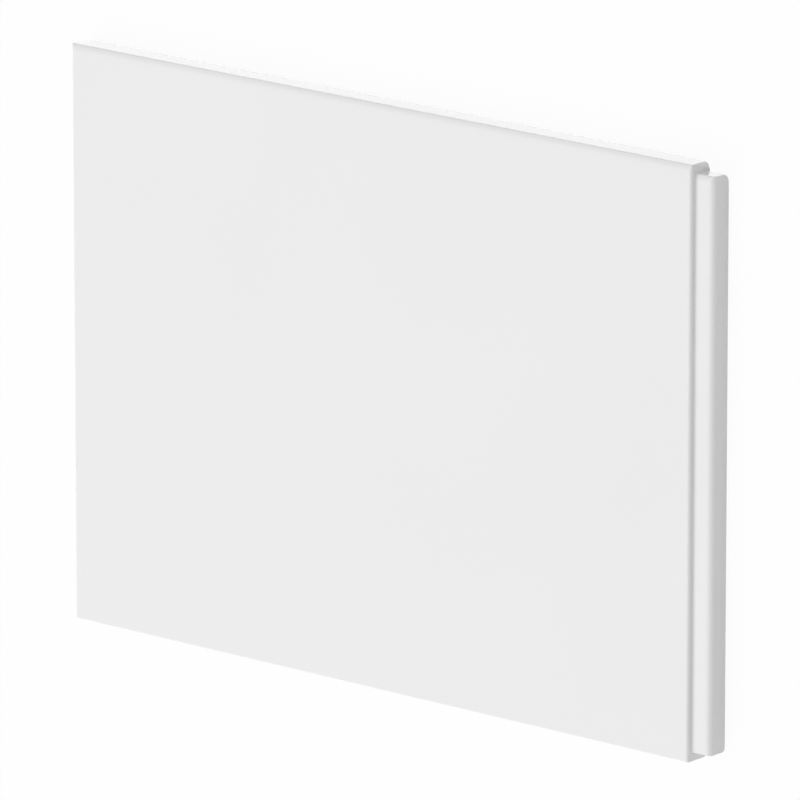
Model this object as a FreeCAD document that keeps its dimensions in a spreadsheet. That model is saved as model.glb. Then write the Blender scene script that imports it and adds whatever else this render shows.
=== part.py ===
import FreeCAD, Part
import os

# Bath end panel, moulded in one piece from white acrylic sheet.
# A flat face has its edges turned back all round and turned in again as a lip
# behind. Along one edge a lap strip is set back from the face, and the return
# of the neighbouring panel covers it.
# The panel lies on its back: X is its width, with the lap strip at +X, Y is
# its height once fitted, with the bath rim at +Y, and the face looks up, +Z.
# The origin is on the floor, under the middle of the whole panel.

# Driving dimensions: name, millimetres, meaning
SIZES = [
    ("face_width", 680, "flat face, from its outer edge to the step of the lap strip"),
    ("panel_height", 510, "height once fitted, from the floor to the bath rim"),
    ("panel_depth", 28.5, "from the back of the lip to the face"),
    ("wall", 4, "thickness of the moulded sheet"),
    ("lap_width", 20, "lap strip, beyond the step"),
    ("lap_setback", 5, "from the face down to the front of the lap strip"),
    ("lap_inset", 8, "lap strip stops this far short of the top and bottom edges"),
    ("lip_width", 22, "lip behind, from the panel's outline to the opening"),
    ("opening_corner_radius", 10, "corners of the opening inside the lip"),
    ("rim_front_radius", 3, "outside radius of the top edges of the face and the lap strip"),
    ("floor_front_radius", 1.5, "outside radius of the bottom edges of the face and the lap strip"),
    ("end_front_radius", 3, "outside radius of the face's edges at both ends"),
    ("lap_front_radius", 5.5, "outside radius of the lap strip's outer edge in front"),
    ("rim_back_radius", 10.5, "outside radius where the top return turns into the lip"),
    ("floor_back_radius", 4, "outside radius where the bottom return turns into the lip"),
    ("end_back_radius", 7, "outside radius where the end returns turn into the lip"),
]

doc = FreeCAD.newDocument("bath_panel")
sheet = doc.addObject("Spreadsheet::Sheet", "sizes")
for row, (alias, millimetres, meaning) in enumerate(SIZES, 1):
    sheet.set(f"A{row}", meaning)
    sheet.set(f"B{row}", str(millimetres))
    sheet.setAlias(f"B{row}", alias)
doc.recompute()

# Places shared by the outer moulding, its hollow and the opening behind
LEFT = "-(sizes.face_width + sizes.lap_width) / 2"
STEP = "(sizes.face_width - sizes.lap_width) / 2"
RIGHT = "(sizes.face_width + sizes.lap_width) / 2"
HALF_HEIGHT = "sizes.panel_height / 2"
LAP_HALF_HEIGHT = "(sizes.panel_height / 2 - sizes.lap_inset)"
LAP_FRONT = "(sizes.panel_depth - sizes.lap_setback)"

# Outside radii of the top, bottom and end edges, in front and behind
FACE_FRONT_RADII = (sheet.rim_front_radius, sheet.floor_front_radius, sheet.end_front_radius)
LAP_FRONT_RADII = (sheet.rim_front_radius, sheet.floor_front_radius, sheet.lap_front_radius)
BACK_RADII = (sheet.rim_back_radius, sheet.floor_back_radius, sheet.end_back_radius)


def block(name, left, right, half_height, back, front):
    """A box between two places in X and two in Z, with Y even about the middle."""
    box = doc.addObject("Part::Box", name)
    box.setExpression("Length", f"{right} - ({left})")
    box.setExpression("Width", f"2 * ({half_height})")
    box.setExpression("Height", f"{front} - ({back})")
    box.setExpression("Placement.Base.x", left)
    box.setExpression("Placement.Base.y", f"-({half_height})")
    box.setExpression("Placement.Base.z", back)
    doc.recompute()
    return box


def rounded(name, base, radius_at):
    """Round a shape's edges, each to the radius given for its place, where that is above zero."""
    rows = []
    for number, edge in enumerate(base.Shape.Edges, 1):
        radius = radius_at(edge)
        if radius > 0:
            rows.append((number, radius, radius))
    fillet = doc.addObject("Part::Fillet", name)
    fillet.Base = base
    fillet.Edges = rows
    doc.recompute()
    return fillet


def runs_in_depth(edge):
    """An edge along Z, at a corner of the outline."""
    return edge.BoundBox.ZLength > edge.BoundBox.DiagonalLength / 2


def moulding_radii(base, front_radii, inside=0):
    """Radius of each edge of a block, by its place, for the given radii in front.

    A hollow's edges are less by the thickness of the sheet, which is inside.
    """
    middle_depth = base.Shape.BoundBox.Center.z

    def radius_at(edge):
        place = edge.BoundBox
        if runs_in_depth(edge):
            return 0
        rim, floor, end = front_radii if place.Center.z > middle_depth else BACK_RADII
        if place.YLength > place.XLength:
            return end - inside
        return (rim if place.Center.y > 0 else floor) - inside

    return radius_at


# Outer form: the face with its returns, and the lap strip beside it
face_block = block("face_block", LEFT, STEP, HALF_HEIGHT, "0", "sizes.panel_depth")
face_form = rounded("face_form", face_block, moulding_radii(face_block, FACE_FRONT_RADII))
lap_block = block("lap_block", f"{STEP} - sizes.lip_width", RIGHT, LAP_HALF_HEIGHT, "0", LAP_FRONT)
lap_form = rounded("lap_form", lap_block, moulding_radii(lap_block, LAP_FRONT_RADII))
outer_form = doc.addObject("Part::Fuse", "outer_form")
outer_form.Base = face_form
outer_form.Tool = lap_form

# Hollow: the same two forms, one sheet thickness inside the outer ones
face_hollow_block = block(
    "face_hollow_block", f"{LEFT} + sizes.wall", f"{STEP} - sizes.wall",
    f"{HALF_HEIGHT} - sizes.wall", "sizes.wall", "sizes.panel_depth - sizes.wall")
face_hollow = rounded("face_hollow", face_hollow_block, moulding_radii(
    face_hollow_block, FACE_FRONT_RADII, sheet.wall))
lap_hollow_block = block(
    "lap_hollow_block", f"{STEP} - sizes.lip_width", f"{RIGHT} - sizes.wall",
    f"{LAP_HALF_HEIGHT} - sizes.wall", "sizes.wall", f"{LAP_FRONT} - sizes.wall")
lap_hollow = rounded("lap_hollow", lap_hollow_block, moulding_radii(
    lap_hollow_block, LAP_FRONT_RADII, sheet.wall))

# Opening behind, inside the lip
opening_block = block(
    "opening_block", f"{LEFT} + sizes.lip_width", f"{RIGHT} - sizes.lip_width",
    f"{HALF_HEIGHT} - sizes.lip_width", "-sizes.wall", "2 * sizes.wall")
opening = rounded("opening", opening_block, lambda edge: (
    sheet.opening_corner_radius if runs_in_depth(edge) else 0))

hollow = doc.addObject("Part::MultiFuse", "hollow")
hollow.Shapes = [face_hollow, lap_hollow, opening]
bath_panel = doc.addObject("Part::Cut", "moulded_panel")
bath_panel.Base = outer_form
bath_panel.Tool = hollow
bath_panel.Label = "bath_panel"
doc.recompute()

# Nothing is written unless every object came out whole
for item in doc.Objects:
    if {"Invalid", "Error"} & set(item.State):
        raise RuntimeError(f"{item.Label} did not build")
if bath_panel.Shape.isNull() or not bath_panel.Shape.isValid():
    raise RuntimeError("the panel's shape is not valid")
if len(bath_panel.Shape.Solids) != 1:
    raise RuntimeError("the panel is not one solid")

os.makedirs("parts", exist_ok=True)
bath_panel.Shape.exportStep(f"parts/{bath_panel.Label}.step")
box = bath_panel.Shape.BoundBox
print(f"{bath_panel.Label}: {box.XLength:.2f} x {box.YLength:.2f} x {box.ZLength:.2f} mm,",
      f"{bath_panel.Shape.Volume / 1e6:.4f} litres")
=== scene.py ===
import math

import bmesh
import bpy
from bpy.props import FloatProperty, FloatVectorProperty, IntProperty, PointerProperty
from bpy.types import Operator, Panel, PropertyGroup
from mathutils import Matrix, Vector


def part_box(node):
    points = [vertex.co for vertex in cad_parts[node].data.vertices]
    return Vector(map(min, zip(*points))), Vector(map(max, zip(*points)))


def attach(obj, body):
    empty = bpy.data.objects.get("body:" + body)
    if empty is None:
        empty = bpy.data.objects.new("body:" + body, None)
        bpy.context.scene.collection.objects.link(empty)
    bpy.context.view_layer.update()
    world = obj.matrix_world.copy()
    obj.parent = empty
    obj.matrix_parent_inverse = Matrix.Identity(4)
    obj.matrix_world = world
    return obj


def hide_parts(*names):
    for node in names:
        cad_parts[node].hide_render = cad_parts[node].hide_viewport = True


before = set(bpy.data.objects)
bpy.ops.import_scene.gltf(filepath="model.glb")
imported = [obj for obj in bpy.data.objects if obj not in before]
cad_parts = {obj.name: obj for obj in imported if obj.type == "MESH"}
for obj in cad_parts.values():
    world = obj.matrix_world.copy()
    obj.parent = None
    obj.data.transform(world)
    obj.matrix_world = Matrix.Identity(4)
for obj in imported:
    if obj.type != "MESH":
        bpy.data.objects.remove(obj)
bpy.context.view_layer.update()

bl_info = {
    "name": "Bath End Panel",
    "version": (1, 0, 0),
    "blender": (4, 5, 0),
    "location": "View3D > Sidebar > Bath Panel",
    "description": "Moulded bath end panel with a set-back lap strip, and a studio stage for it",
    "category": "Add Mesh",
}

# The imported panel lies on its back. X is its width, with the lap strip at +X, Y is its height once
# fitted, with the top edge at +Y, and the face looks up, +Z.
NODE = "bath_panel"
PANEL_LOW, PANEL_HIGH = (Vector(corner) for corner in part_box(NODE))
MM = 0.001

# Mesh making: points nearer than this become one, rings of points stand at least a gap apart, and
# the lap strip starts this far inside the step, so that the two forms overlap
MERGE = 0.005 * MM
RING_GAP = 0.015 * MM
LAP_SEAT = 0.02 * MM
# Power by which two rounds run together at a back corner: 1 adds them up, a large one is a mitre
BLEND = 1.4
# Turn between two faces above which the edge looks sharp, and above which it was cut with a tool
SHARP_TURN = math.radians(32)
CUT_TURN = math.radians(60)
CUT_STRIPS = 2
ROUND_PROFILE = 0.5

# Acrylic: refractive index, roughness of the sheet's two sides with the spread of each, and the
# part of a noise pattern's range in which most of its values lie
ACRYLIC_IOR = 1.49
GLOSS_ROUGHNESS = (0.13, 0.02)
MOULD_ROUGHNESS = (0.42, 0.06)
NOISE_LOW, NOISE_HIGH = 0.3, 0.7

# Stage: the floor lies just below the panel and the low lights just above it. The camera's sensor
# is in millimetres, and how far it sees in metres.
FLOOR_CLEAR = 0.05 * MM
LOW_CLEAR = 0.5 * MM
SENSOR_WIDTH = 36.0
SIGHT = 200.0


def linear(hex_colour):
    """Linear red, green and blue of an sRGB hex colour."""
    channels = [int(hex_colour[i:i + 2], 16) / 255 for i in (1, 3, 5)]
    return tuple(c / 12.92 if c <= 0.04045 else ((c + 0.055) / 1.055) ** 2.4 for c in channels)


class PanelSizes(PropertyGroup):
    """Sizes of the moulding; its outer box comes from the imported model."""

    wall: FloatProperty(
        name="Wall", description="Thickness of the moulded sheet",
        default=4 * MM, unit="LENGTH")
    lap_width: FloatProperty(
        name="Lap width", description="Lap strip, beyond the step",
        default=20 * MM, unit="LENGTH")
    lap_setback: FloatProperty(
        name="Lap setback", description="From the face down to the front of the lap strip",
        default=5 * MM, unit="LENGTH")
    lap_inset: FloatProperty(
        name="Lap inset", description="Lap strip stops this far short of the top and bottom edges",
        default=8 * MM, unit="LENGTH")
    lip_width: FloatProperty(
        name="Lip width", description="Lip behind, from the outline to the opening",
        default=22 * MM, unit="LENGTH")
    opening_corner: FloatProperty(
        name="Opening corner", description="Radius at the corners of the opening inside the lip",
        default=10 * MM, unit="LENGTH")
    rim_front: FloatProperty(
        name="Rim front", description="Radius of the bend of face and lap strip at their top edges",
        default=14 * MM, unit="LENGTH")
    rim_turn: FloatProperty(
        name="Rim turn", description="Angle of that bend, up to the corner at the top",
        default=math.radians(24), subtype="ANGLE")
    rim_corner: FloatProperty(
        name="Rim corner", description="Small radius between that bend and the top",
        default=0.8 * MM, unit="LENGTH")
    floor_front: FloatProperty(
        name="Floor front", description="Outside radius of the face's bottom edge",
        default=1.5 * MM, unit="LENGTH")
    end_front: FloatProperty(
        name="End front", description="Outside radius of the face's edges at both ends",
        default=3 * MM, unit="LENGTH")
    lap_front: FloatProperty(
        name="Lap front", description="Outside radius of the lap strip's outer edge in front",
        default=6.1 * MM, unit="LENGTH")
    lap_floor: FloatProperty(
        name="Lap floor", description="Outside radius of the lap strip's bottom edge in front",
        default=1 * MM, unit="LENGTH")
    rim_back: FloatProperty(
        name="Rim back", description="Outside radius where the top return turns into the lip",
        default=10.5 * MM, unit="LENGTH")
    floor_back: FloatProperty(
        name="Floor back", description="Outside radius where the bottom return turns into the lip",
        default=4 * MM, unit="LENGTH")
    end_back: FloatProperty(
        name="End back", description="Outside radius where the end returns turn into the lip",
        default=7 * MM, unit="LENGTH")
    lap_root: FloatProperty(
        name="Lap root", description="Inside radius where the lap strip meets the step",
        default=2 * MM, unit="LENGTH")
    corner_edge: FloatProperty(
        name="Corner edge", description="Outside radius of the short edges that run front to back",
        default=0.8 * MM, unit="LENGTH")
    cut_edge: FloatProperty(
        name="Cut edge", description="Broken edge where the opening is trimmed out of the lip",
        default=0.6 * MM, unit="LENGTH")
    arc_steps: IntProperty(
        name="Arc steps", description="Flat strips in a quarter turn of an edge",
        default=10, min=2)


class PanelColours(PropertyGroup):
    """Colours of the sheet on its two sides."""

    face_white: FloatVectorProperty(
        name="Face white", description="Glossy side of the sheet",
        default=linear("#EFEFEF"), subtype="COLOR", min=0, max=1)
    face_white_deep: FloatVectorProperty(
        name="Face white, deeper", description="Where the sheet was drawn a little thinner",
        default=linear("#ECECEC"), subtype="COLOR", min=0, max=1)
    rear_white: FloatVectorProperty(
        name="Rear white", description="Dull side of the sheet, towards the mould",
        default=linear("#E9E9E7"), subtype="COLOR", min=0, max=1)
    rear_white_deep: FloatVectorProperty(
        name="Rear white, deeper", description="Dull side of the sheet where it was drawn thinner",
        default=linear("#E2E2DF"), subtype="COLOR", min=0, max=1)


class StageSettings(PropertyGroup):
    """Floor, lamps and camera."""

    floor_white: FloatVectorProperty(
        name="Floor white", description="Paper that the panel lies on",
        default=linear("#E8E8E8"), subtype="COLOR", min=0, max=1)
    floor_size: FloatProperty(
        name="Floor size", description="Side of the paper floor",
        default=80.0, unit="LENGTH")
    floor_lift: FloatProperty(
        name="Floor lift", description="Share of plain white in the floor as the camera sees it",
        default=0.955, min=0, max=1, subtype="FACTOR")
    sky_level: FloatProperty(
        name="Sky level", description="Even light from all round",
        default=0.475, min=0)
    key_power: FloatProperty(
        name="Key power", description="Softbox above the lower left of the face",
        default=4450.0, min=0, subtype="POWER")
    key_width: FloatProperty(
        name="Key width", description="Side of the softbox",
        default=24.0, unit="LENGTH")
    key_distance: FloatProperty(
        name="Key distance", description="Softbox to the middle of the panel",
        default=24.0, unit="LENGTH")
    key_left: FloatProperty(
        name="Key left", description="Softbox, leaning to the left of the face's normal",
        default=math.radians(22), subtype="ANGLE")
    key_down: FloatProperty(
        name="Key down", description="Softbox, leaning from the normal towards the lower edge",
        default=math.radians(26), subtype="ANGLE")
    low_level: FloatProperty(
        name="Low light level", description="Brightness of the low lights beside the top edges",
        default=0.98, min=0)
    low_left: FloatProperty(
        name="Low light left", description="Low light of the face, beyond the panel's left edge",
        default=0.23, unit="LENGTH")
    low_depth: FloatProperty(
        name="Low light depth", description="Low light of the face, outwards from its top edge",
        default=0.30, unit="LENGTH")
    low_gap: FloatProperty(
        name="Low light gap", description="From a top edge to the low light beside it",
        default=0.4 * MM, unit="LENGTH")
    view_azimuth: FloatProperty(
        name="View azimuth", description="Camera, round to the right of the face's normal",
        default=math.radians(40.21), subtype="ANGLE")
    view_elevation: FloatProperty(
        name="View elevation", description="Camera, above the face's normal towards the top edge",
        default=math.radians(14.868), subtype="ANGLE")
    view_distance: FloatProperty(
        name="View distance", description="Camera to the point of the face that it looks at",
        default=9.9799, unit="LENGTH")
    view_right: FloatProperty(
        name="View right", description="Looked-at point, from the face's left edge",
        default=367.59 * MM, unit="LENGTH")
    view_up: FloatProperty(
        name="View up", description="Looked-at point, from the panel's lower edge",
        default=257.85 * MM, unit="LENGTH")
    lens: FloatProperty(
        name="Lens", description="Focal length on a 36 mm sensor",
        default=534.82, min=1, unit="CAMERA")


def add_node(tree, kind, settings=None, **inputs):
    """A shader node with its settings.

    Each input takes a value or a link from another socket. It is called by its name, or by its
    number after an underscore: a Mix node has its factor at 0, its two numbers at 2 and 3, and its
    two colours at 6 and 7.
    """
    node = tree.nodes.new(kind)
    for key, value in (settings or {}).items():
        setattr(node, key, value)
    for key, value in inputs.items():
        socket = node.inputs[int(key[1:]) if key[1:].isdigit() else key.replace("_", " ")]
        if isinstance(value, bpy.types.NodeSocket):
            tree.links.new(value, socket)
        else:
            socket.default_value = value
    return node


def empty_material(name):
    """A material with an empty node tree, and that tree."""
    material = bpy.data.materials.new(name)
    material.use_nodes = True
    material.node_tree.nodes.clear()
    return material, material.node_tree


def rgba(colour):
    """A colour with full opacity, as a shader socket takes it."""
    return (*colour, 1.0)


def acrylic(name, white, white_deep, finish):
    """Cast acrylic sheet, drawn over a mould while hot; finish is its roughness and the spread.

    The eye sees an even white with a soft gloss, very slightly deeper where the sheet was
    drawn thinner, and reflections that waver a little because the sheet cooled freely.
    """
    draw_patch = 180 * MM
    wave_length = 16 * MM
    wave_height = 0.012 * MM
    haze_patch = 45 * MM
    roughness, spread = finish
    material, tree = empty_material(name)
    place = add_node(tree, "ShaderNodeTexCoord").outputs["Object"]
    drawn = add_node(tree, "ShaderNodeTexNoise", Vector=place, Scale=1 / draw_patch, Detail=2.0)
    tone = add_node(
        tree, "ShaderNodeMix", {"data_type": "RGBA"}, _0=drawn.outputs["Fac"],
        _6=rgba(white), _7=rgba(white_deep))
    waves = add_node(tree, "ShaderNodeTexNoise", Vector=place, Scale=1 / wave_length, Detail=1.0)
    relief = add_node(
        tree, "ShaderNodeBump", Strength=1.0, Distance=wave_height, Height=waves.outputs["Fac"])
    haze = add_node(tree, "ShaderNodeTexNoise", Vector=place, Scale=1 / haze_patch, Detail=3.0)
    dullness = add_node(
        tree, "ShaderNodeMapRange", Value=haze.outputs["Fac"],
        From_Min=NOISE_LOW, From_Max=NOISE_HIGH,
        To_Min=roughness - spread, To_Max=roughness + spread)
    shader = add_node(
        tree, "ShaderNodeBsdfPrincipled", IOR=ACRYLIC_IOR, Base_Color=tone.outputs[2],
        Roughness=dullness.outputs["Result"], Normal=relief.outputs["Normal"])
    add_node(tree, "ShaderNodeOutputMaterial", Surface=shader.outputs["BSDF"])
    return material


def background_rays(tree):
    """One for rays that see the background itself: the camera's, in gloss and through glass."""
    path = add_node(tree, "ShaderNodeLightPath")
    seen = add_node(
        tree, "ShaderNodeMath", {"operation": "MAXIMUM"},
        _0=path.outputs["Is Camera Ray"], _1=path.outputs["Is Glossy Ray"])
    return add_node(
        tree, "ShaderNodeMath", {"operation": "MAXIMUM"},
        _0=seen.outputs[0], _1=path.outputs["Is Transmission Ray"]).outputs[0]


def studio_paper(white, lift):
    """Matt white paper sweep: one even white, on which only the panel's shadow shows."""
    material, tree = empty_material("matt_paper")
    paper = add_node(tree, "ShaderNodeBsdfDiffuse", Color=rgba(white))
    plain = add_node(tree, "ShaderNodeEmission", Strength=1.0)
    share = add_node(
        tree, "ShaderNodeMath", {"operation": "MULTIPLY"}, _0=background_rays(tree), _1=lift)
    surface = add_node(
        tree, "ShaderNodeMixShader", _0=share.outputs[0],
        _1=paper.outputs["BSDF"], _2=plain.outputs["Emission"])
    add_node(tree, "ShaderNodeOutputMaterial", Surface=surface.outputs["Shader"])
    return material


def set_back(radius, run):
    """How far a quarter round stands back from its flat, at a run measured from the other flat."""
    return radius - math.sqrt(radius ** 2 - (radius - run) ** 2) if run < radius else 0.0


def quarter(radius, steps):
    """Runs at which a quarter round is cut into flat strips; one run where there is no round."""
    if radius <= 0:
        return [0.0]
    return [radius * (1 - math.cos(math.pi / 2 * k / steps)) for k in range(steps + 1)]


def full_round(radius):
    """A bend through a whole quarter turn."""
    return radius, math.pi / 2, 0.0


def bent_edge(radius, turn, corner, steps):
    """A front edge in section, from the side to the face.

    The face bends back through the turn at the radius, and a corner radius makes up the rest of a
    quarter. Each point is its distance in from the side and its distance back from the face.
    """
    rise = radius * math.sin(turn) + corner * (1 - math.sin(turn))
    points = []
    for k in range(steps):
        angle = math.pi / 2 - (math.pi / 2 - turn) * k / steps
        points.append((
            corner * (1 - math.sin(angle)),
            radius * (1 - math.cos(turn)) + corner * (math.cos(turn) - math.cos(angle))))
    for k in range(steps + 1):
        angle = turn * (1 - k / steps)
        points.append((rise - radius * math.sin(angle), radius * (1 - math.cos(angle))))
    return points


def section(half_height, back, front, rim, floor, end_run, steps):
    """Outline across the panel in Y and Z, as a closed ring of points with rounded corners.

    rim and floor are the bend in front and the radius behind, at the top and at the bottom.
    end_run is how far the back stands in here because an end is rounded; it blends with the other
    rounds behind.
    """
    ring = []
    for side, (bend, back_radius) in ((1, rim), (-1, floor)):
        from_back = [
            (half_height - set_back(back_radius, run),
             back + (run ** BLEND + end_run ** BLEND) ** (1 / BLEND))
            for run in quarter(back_radius, steps)]
        to_front = [(half_height - inward, front - run) for inward, run in bent_edge(*bend, steps)]
        half = from_back + to_front
        ring += [(side * y, z) for y, z in (half if side > 0 else reversed(half))]
    return ring


def stations(end, inward, radii, steps, extra=()):
    """Places along X at which the rounds of one end are cut into flat strips."""
    places = {end}
    for radius in radii:
        runs = quarter(radius, steps) + [run for run in extra if run < radius]
        places.update(end + inward * set_back(radius, run) for run in runs)
    return places


def spaced(places, gap):
    """Places in order without those too close to the one before; both ends stay."""
    first, *between, last = sorted(places)
    kept = [first]
    for place in between:
        if min(place - kept[-1], last - place) > gap:
            kept.append(place)
    return kept + [last]


def moulded_block(name, low, high, fronts, backs, steps, corner=0.0, root=0.0, tail=0.0):
    """A closed block with rounded edges, whose corners are mitred in front and blended behind.

    fronts: bends of the front edges along the top and along the bottom, as radius, turn and corner
    radius, and radii of those at the left and at the right.
    backs: radii of the back edges along the top, along the bottom and at both ends.
    corner rounds the edges that run front to back. root, if any, spreads the front at the left end
    into an inside round, where the block grows out of another, and tail is how far it reaches into
    that one.
    """
    rim_front, floor_front, left_front, right_front = fronts
    rim_back, floor_back, end_back = backs
    levels = [run for bend in (rim_front, floor_front) for _, run in bent_edge(*bend, steps)]
    places = stations(high.x, -1, (right_front, end_back, corner), steps, levels)
    if root:
        places.update([low.x - tail] + [low.x + run for run in quarter(root, steps)])
    else:
        places.update(stations(low.x, 1, (left_front, end_back, corner), steps, levels))

    bm = bmesh.new()
    rings = []
    for x in spaced(places, RING_GAP):
        from_left, from_right = x - low.x, high.x - x
        spread = set_back(root, max(from_left, 0.0))
        front_limit = high.z + spread - set_back(right_front, from_right)
        end_run = set_back(end_back, from_right)
        side_limit = high.y - set_back(corner, from_right)
        if not root:
            front_limit = min(front_limit, high.z - set_back(left_front, from_left))
            end_run = max(end_run, set_back(end_back, from_left))
            side_limit = min(side_limit, high.y - set_back(corner, from_left))
        ring = section(
            high.y, low.z, high.z + spread, (rim_front, rim_back), (floor_front, floor_back),
            end_run, steps)
        rings.append([
            bm.verts.new((x, math.copysign(min(abs(y), side_limit), y), min(z, front_limit)))
            for y, z in ring])
    for ring, following in zip(rings, rings[1:]):
        for i in range(len(ring)):
            bm.faces.new((ring[i - 1], ring[i], following[i], following[i - 1]))
    bm.faces.new(rings[0])
    bm.faces.new(rings[-1])
    bmesh.ops.remove_doubles(bm, verts=bm.verts, dist=MERGE)
    bmesh.ops.dissolve_degenerate(bm, edges=bm.edges, dist=MERGE)
    bmesh.ops.recalc_face_normals(bm, faces=bm.faces)
    mesh = bpy.data.meshes.new(name)
    bm.to_mesh(mesh)
    bm.free()
    block = bpy.data.objects.new(name, mesh)
    bpy.context.scene.collection.objects.link(block)
    return block


def join_solid(target, tool, operation):
    """Unite the target with a tool, or cut it with one, and drop the tool."""
    step = target.modifiers.new(operation.lower(), "BOOLEAN")
    step.operation = operation
    step.solver = "EXACT"
    step.material_mode = "TRANSFER"
    step.object = tool
    graph = bpy.context.evaluated_depsgraph_get()
    shape = bpy.data.meshes.new_from_object(target.evaluated_get(graph))
    target.modifiers.clear()
    target.data = shape
    bpy.data.objects.remove(tool)


def lap_limits(sizes):
    """Where the lap strip leaves the step in X, ends in Y and has its front in Z."""
    return (
        PANEL_HIGH.x - sizes.lap_width, PANEL_HIGH.y - sizes.lap_inset,
        PANEL_HIGH.z - sizes.lap_setback)


def outer_form(sizes, finish):
    """The face with its returns, and the lap strip that grows out of it, as one solid."""
    low, high = PANEL_LOW, PANEL_HIGH
    step_x, lap_half, lap_face = lap_limits(sizes)
    rim_bend = (sizes.rim_front, sizes.rim_turn, sizes.rim_corner)
    backs = (sizes.rim_back, sizes.floor_back, sizes.end_back)
    panel = moulded_block(
        "acrylic_moulding", low, Vector((step_x, high.y, high.z)),
        (rim_bend, full_round(sizes.floor_front), sizes.end_front, sizes.end_front),
        backs, sizes.arc_steps, sizes.corner_edge)
    lap = moulded_block(
        "lap", Vector((step_x - LAP_SEAT, -lap_half, low.z)), Vector((high.x, lap_half, lap_face)),
        (rim_bend, full_round(sizes.lap_floor), 0.0, sizes.lap_front),
        backs, sizes.arc_steps, sizes.corner_edge, sizes.lap_root, sizes.lip_width)
    for form in (panel, lap):
        form.data.materials.append(finish)
    join_solid(panel, lap, "UNION")
    return panel


def hollow_forms(sizes, finish):
    """Insides of the face and of the lap strip, one sheet thickness in, and the opening behind."""
    low, high = PANEL_LOW, PANEL_HIGH
    step_x, lap_half, lap_face = lap_limits(sizes)
    wall, lip, steps = sizes.wall, sizes.lip_width, sizes.arc_steps
    outer_backs = (sizes.rim_back, sizes.floor_back, sizes.end_back)
    backs = [max(radius - wall, 0.0) for radius in outer_backs]
    square = full_round(0.0)
    face_hollow = moulded_block(
        "face_hollow", low + Vector((wall, wall, wall)),
        Vector((step_x - wall, high.y - wall, high.z - wall)),
        (square, square, 0.0, 0.0), backs, steps)
    lap_hollow = moulded_block(
        "lap_hollow", Vector((step_x - lip, -(lap_half - wall), low.z + wall)),
        Vector((high.x - wall, lap_half - wall, lap_face - wall)),
        (square, square, 0.0, max(sizes.lap_front - wall, 0.0)), backs, steps)
    # The opening passes right through the lip and one thickness beyond it on both sides
    opening = moulded_block(
        "opening", Vector((low.x + lip, -(high.y - lip), low.z - wall)),
        Vector((high.x - lip, high.y - lip, low.z + 2 * wall)),
        (square, square, 0.0, 0.0), (0.0, 0.0, 0.0), steps, sizes.opening_corner)
    forms = (face_hollow, lap_hollow, opening)
    for form in forms:
        form.data.materials.append(finish)
    return forms


def trim_opening(mesh, sizes):
    """Drop needle-thin faces, and break the sharp edge all round the opening behind."""
    lip = sizes.lip_width
    reach = Vector((MERGE, MERGE, MERGE))
    low = Vector((PANEL_LOW.x + lip, -(PANEL_HIGH.y - lip), PANEL_LOW.z)) - reach
    high = Vector((PANEL_HIGH.x - lip, PANEL_HIGH.y - lip, PANEL_LOW.z)) + reach
    bm = bmesh.new()
    bm.from_mesh(mesh)
    bmesh.ops.remove_doubles(bm, verts=bm.verts, dist=MERGE)
    bmesh.ops.dissolve_degenerate(bm, edges=bm.edges, dist=MERGE)
    outline = [
        edge for edge in bm.edges
        if edge.calc_face_angle(0.0) > CUT_TURN
        and all(low[axis] < vert.co[axis] < high[axis] for vert in edge.verts for axis in range(3))]
    bmesh.ops.bevel(
        bm, geom=outline, offset=sizes.cut_edge, offset_type="OFFSET", segments=CUT_STRIPS,
        profile=ROUND_PROFILE, affect="EDGES")
    bm.to_mesh(mesh)
    bm.free()


class BATHPANEL_OT_moulding(Operator):
    """Build the moulded panel with its returned edges, lip and lap strip"""

    bl_idname = "bath_panel.moulding"
    bl_label = "Moulded panel"

    def execute(self, context):
        sizes = context.scene.bath_panel_sizes
        colours = context.scene.bath_panel_colours
        gloss = acrylic(
            "acrylic_gloss_side", colours.face_white, colours.face_white_deep, GLOSS_ROUGHNESS)
        dull = acrylic(
            "acrylic_mould_side", colours.rear_white, colours.rear_white_deep, MOULD_ROUGHNESS)

        panel = outer_form(sizes, gloss)
        for cutter in hollow_forms(sizes, dull):
            join_solid(panel, cutter, "DIFFERENCE")
        trim_opening(panel.data, sizes)

        panel.data.shade_smooth()
        panel.data.set_sharp_from_angle(angle=SHARP_TURN)
        evened = panel.modifiers.new("even_flats", "WEIGHTED_NORMAL")
        evened.keep_sharp = True
        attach(panel, "root")
        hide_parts(NODE)
        return {"FINISHED"}


def lay_floor(stage):
    """Paper floor, a hair below the panel so that the two don't share a plane."""
    half = stage.floor_size / 2
    level = PANEL_LOW.z - FLOOR_CLEAR
    mesh = bpy.data.meshes.new("floor")
    corners = [(x * half, y * half, level) for x, y in ((-1, -1), (1, -1), (1, 1), (-1, 1))]
    mesh.from_pydata(corners, [], [(0, 1, 2, 3)])
    floor = bpy.data.objects.new("floor", mesh)
    bpy.context.scene.collection.objects.link(floor)
    mesh.materials.append(studio_paper(stage.floor_white, stage.floor_lift))


def light_sky(stage):
    """Even light from all round, from a sky that is seen as plain white."""
    world = bpy.data.worlds.new("studio")
    world.use_nodes = True
    tree = world.node_tree
    tree.nodes.clear()
    strength = add_node(
        tree, "ShaderNodeMix", {"data_type": "FLOAT"}, _0=background_rays(tree),
        _2=stage.sky_level, _3=1.0)
    sky = add_node(
        tree, "ShaderNodeBackground", Color=rgba((1.0, 1.0, 1.0)), Strength=strength.outputs[0])
    add_node(tree, "ShaderNodeOutputWorld", Surface=sky.outputs["Background"])
    bpy.context.scene.world = world


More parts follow.
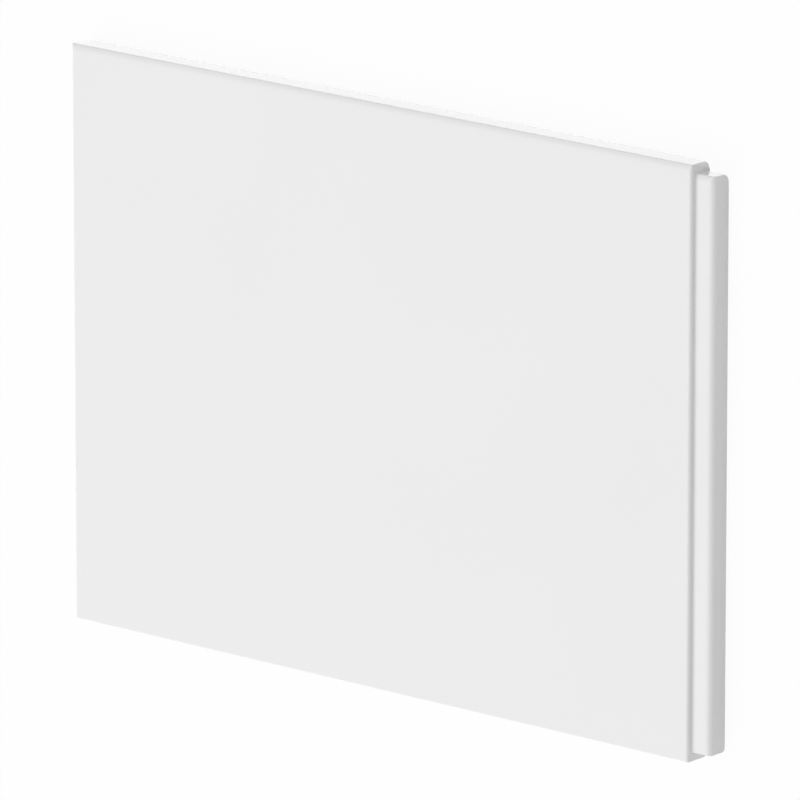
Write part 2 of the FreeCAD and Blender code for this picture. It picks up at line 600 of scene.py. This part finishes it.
def area_lamp(name, place, aim, width, depth, power):
    """A soft rectangular lamp at a place, turned to a point, that the camera does not see."""
    light = bpy.data.lights.new(name, "AREA")
    light.shape = "RECTANGLE"
    light.size = width
    light.size_y = depth
    light.energy = power
    lamp = bpy.data.objects.new(name, light)
    lamp.location = place
    lamp.rotation_euler = (Vector(aim) - Vector(place)).to_track_quat("-Z", "Y").to_euler()
    lamp.visible_camera = False
    bpy.context.scene.collection.objects.link(lamp)
    return lamp


def light_key(stage):
    """Softbox above the lower left of the face, which doesn't show in the gloss."""
    middle = (PANEL_LOW + PANEL_HIGH) / 2
    lean = Vector((-math.tan(stage.key_left), -math.tan(stage.key_down), 1.0)).normalized()
    key = area_lamp(
        "key", middle + stage.key_distance * lean, middle,
        stage.key_width, stage.key_width, stage.key_power)
    key.visible_glossy = False


def light_top_edges(stage, sizes):
    """Low lights that lie on the floor beside the two top edges, and show only in their gloss."""
    step_x, lap_top, _ = lap_limits(sizes)
    right = PANEL_HIGH.x
    for name, left, near, depth in (
            ("low_face", PANEL_LOW.x - stage.low_left, PANEL_HIGH.y, stage.low_depth),
            ("low_lap", step_x - sizes.end_back, lap_top, sizes.lap_inset)):
        width = right - left
        beside = Vector(((left + right) / 2, near + stage.low_gap + depth / 2, LOW_CLEAR))
        above = beside + Vector((0, 0, 1))
        power = math.pi * width * depth * stage.low_level
        low = area_lamp(name, beside, above, width, depth, power)
        low.visible_diffuse = False


def set_camera(stage):
    """Camera at the photograph's viewing angle."""
    lens = bpy.data.cameras.new("camera")
    lens.lens = stage.lens
    lens.sensor_width = SENSOR_WIDTH
    lens.clip_end = SIGHT
    camera = bpy.data.objects.new("camera", lens)
    turn = (
        Matrix.Rotation(stage.view_azimuth, 4, "Y") @ Matrix.Rotation(-stage.view_elevation, 4, "X"))
    looked_at = Vector((
        PANEL_LOW.x + stage.view_right, PANEL_LOW.y + stage.view_up, PANEL_HIGH.z))
    camera.matrix_world = (
        Matrix.Translation(looked_at) @ turn @ Matrix.Translation((0, 0, stage.view_distance)))
    bpy.context.scene.collection.objects.link(camera)
    bpy.context.scene.camera = camera


class BATHPANEL_OT_stage(Operator):
    """Lay the floor and set the sky, the lamps and the camera"""

    bl_idname = "bath_panel.stage"
    bl_label = "Studio stage"

    def execute(self, context):
        scene = context.scene
        stage = scene.bath_panel_stage
        scene.view_settings.view_transform = "Standard"
        lay_floor(stage)
        light_sky(stage)
        light_key(stage)
        light_top_edges(stage, scene.bath_panel_sizes)
        set_camera(stage)
        return {"FINISHED"}


class BATHPANEL_PT_sidebar(Panel):
    """Sizes, colours and operators in the 3D view's sidebar"""

    bl_idname = "BATHPANEL_PT_sidebar"
    bl_label = "Bath End Panel"
    bl_space_type = "VIEW_3D"
    bl_region_type = "UI"
    bl_category = "Bath Panel"

    def draw(self, context):
        layout = self.layout
        for group in (
                context.scene.bath_panel_sizes, context.scene.bath_panel_colours,
                context.scene.bath_panel_stage):
            box = layout.box()
            for key in group.__annotations__:
                box.prop(group, key)
        layout.operator(BATHPANEL_OT_moulding.bl_idname)
        layout.operator(BATHPANEL_OT_stage.bl_idname)


CLASSES = (
    PanelSizes, PanelColours, StageSettings,
    BATHPANEL_OT_moulding, BATHPANEL_OT_stage, BATHPANEL_PT_sidebar,
)


def register():
    for cls in CLASSES:
        bpy.utils.register_class(cls)
    bpy.types.Scene.bath_panel_sizes = PointerProperty(type=PanelSizes)
    bpy.types.Scene.bath_panel_colours = PointerProperty(type=PanelColours)
    bpy.types.Scene.bath_panel_stage = PointerProperty(type=StageSettings)


def unregister():
    del bpy.types.Scene.bath_panel_stage
    del bpy.types.Scene.bath_panel_colours
    del bpy.types.Scene.bath_panel_sizes
    for cls in reversed(CLASSES):
        bpy.utils.unregister_class(cls)


def main():
    register()
    bpy.ops.bath_panel.moulding()
    bpy.ops.bath_panel.stage()


if __name__ == "__main__":
    main()
